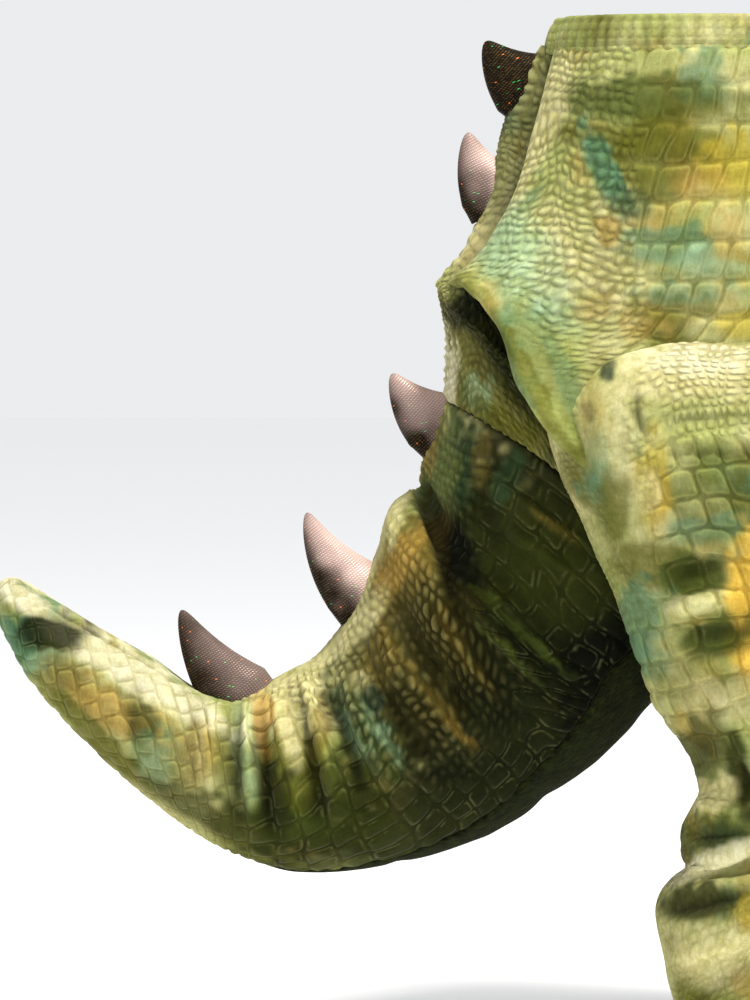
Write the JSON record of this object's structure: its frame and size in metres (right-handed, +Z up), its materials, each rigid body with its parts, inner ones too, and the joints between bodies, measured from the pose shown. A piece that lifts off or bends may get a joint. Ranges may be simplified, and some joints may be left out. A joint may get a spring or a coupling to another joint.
{
  "type": "dinosaur ride-on costume",
  "caption": "Child's dinosaur costume pulled on at the waist: scaly plush hips and legs, elastic cuffs, a neck and head in front and a curved tail with stuffed spikes.",
  "frame": {"origin": "centre of the open waist, at its top edge", "axes": "+X towards the wearer's front, -Y to the wearer's right, +Z up"},
  "size_m": [1.0653, 0.3738, 0.873],
  "materials": {
    "scale_plush": "short velour pile, embossed with scales, mottled green, teal and ochre",
    "dark_plush": "short dark plush",
    "elastic": "elastic in a gathered casing",
    "glitter_knit": "knit with metallic dots",
    "eye": "gloss"
  },
  "bodies": {
    "root": {"waistband": "elastic", "back_ridge": "scale_plush", "hip_right": "scale_plush", "hip_left": "scale_plush", "belly": "dark_plush", "rump_right": "scale_plush", "rump_left": "scale_plush", "tail_right": "scale_plush", "tail_left": "scale_plush", "tail_under": "dark_plush", "leg_right_outer": "scale_plush", "leg_right_inner": "scale_plush", "leg_left_outer": "scale_plush", "leg_left_inner": "scale_plush", "cuff_right": "elastic", "cuff_left": "elastic", "neck_right": "scale_plush", "neck_left": "scale_plush", "throat": "dark_plush", "head_right": "scale_plush", "head_left": "scale_plush", "jaw": "dark_plush", "spike_1": "glitter_knit", "spike_2": "glitter_knit", "spike_3": "glitter_knit", "spike_4": "glitter_knit", "spike_5": "glitter_knit", "eye_right": "eye", "eye_left": "eye"}
  },
  "joints": []
}
